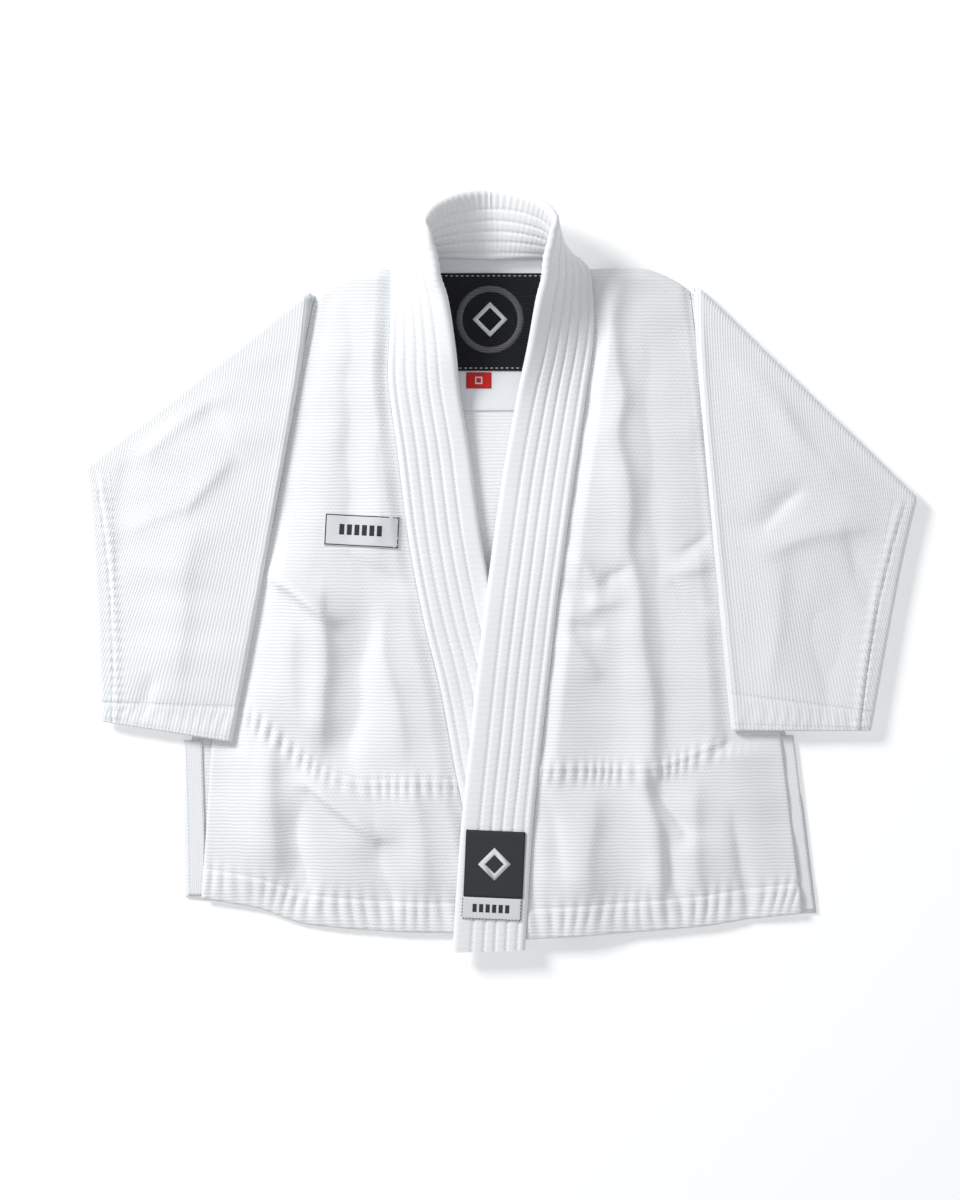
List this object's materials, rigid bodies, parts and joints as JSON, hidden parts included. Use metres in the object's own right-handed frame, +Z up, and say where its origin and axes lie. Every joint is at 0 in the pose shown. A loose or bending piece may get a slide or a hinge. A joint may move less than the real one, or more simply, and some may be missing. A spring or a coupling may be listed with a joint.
{
  "type": "martial arts uniform",
  "caption": "White ribbed cotton martial arts jacket lying on its back, sleeves folded down over the fronts, thick quilted collar, left front over right.",
  "frame": {"origin": "centre of the bounding box, on the surface that the jacket lies on", "axes": "+X towards the wearer's left, across the sleeves; +Y from hem to collar; +Z up, out of the fronts"},
  "size_m": [0.6515, 0.6048, 0.0615],
  "materials": {
    "pearl_weave": "ribbed pearl weave cotton, matt white",
    "plain_weave": "plain woven white cotton",
    "lapel_drill": "quilted white drill cotton cover",
    "lapel_foam": "dense white foam core",
    "black_label": "black ribbed woven label",
    "charcoal_patch": "charcoal woven patch",
    "white_patch": "white woven patch",
    "red_tag": "red woven tag"
  },
  "bodies": {
    "torso": {"back_panel": "pearl_weave", "back_hem_band": "pearl_weave", "yoke_lining": "plain_weave", "neck_label": "black_label", "collar_cover": "lapel_drill", "collar_core": "lapel_foam", "front_left_side": "pearl_weave", "front_right_side": "pearl_weave", "front_vent_tape_left": "plain_weave", "front_vent_tape_right": "plain_weave", "back_vent_tape_left": "plain_weave", "back_vent_tape_right": "plain_weave", "sleeve_left_upper": "pearl_weave", "sleeve_right_upper": "pearl_weave", "armpit_gusset_left": "plain_weave", "armpit_gusset_right": "plain_weave"},
    "sleeve_left": {"sleeve_left_lower": "pearl_weave", "cuff_left": "pearl_weave"},
    "sleeve_right": {"sleeve_right_lower": "pearl_weave", "cuff_right": "pearl_weave"},
    "front_left": {"front_left_panel": "pearl_weave", "front_left_skirt": "pearl_weave", "front_left_hem_band": "pearl_weave", "front_left_lapel_cover": "lapel_drill", "front_left_lapel_core": "lapel_foam", "lapel_patch": "charcoal_patch", "lapel_patch_strip": "white_patch"},
    "front_right": {"front_right_panel": "pearl_weave", "front_right_skirt": "pearl_weave", "front_right_hem_band": "pearl_weave", "front_right_lapel_cover": "lapel_drill", "front_right_lapel_core": "lapel_foam", "chest_patch": "white_patch"},
    "size_tag": {"size_tag": "red_tag"}
  },
  "joints": [
    {"name": "front_left_fold", "type": "hinge", "parent": "torso", "child": "front_left", "pos_m": [0.072, 0.24, 0.0057], "axis": [-0.2416, 0.9704, 0], "range_deg": [0, 140]},
    {"name": "front_right_fold", "type": "hinge", "parent": "torso", "child": "front_right", "pos_m": [-0.086, 0.24, 0.0057], "axis": [-0.2663, -0.9639, 0], "range_deg": [0, 63]},
    {"name": "sleeve_left_fold", "type": "hinge", "parent": "torso", "child": "sleeve_left", "pos_m": [0.135, 0.239, 0.0059], "axis": [-0.7201, 0.6939, 0], "range_deg": [0, 180]},
    {"name": "sleeve_right_fold", "type": "hinge", "parent": "torso", "child": "sleeve_right", "pos_m": [-0.122, 0.239, 0.0059], "axis": [-0.7887, -0.6147, 0], "range_deg": [0, 180]},
    {"name": "size_tag_flip", "type": "hinge", "parent": "torso", "child": "size_tag", "pos_m": [-0.017, 0.1584, 0.0043], "axis": [-1, 0, 0], "range_deg": [0, 150]}
  ],
  "couplings": [
    {"joint": "front_right_fold", "follows": "front_left_fold", "ratio": 0.45}
  ]
}
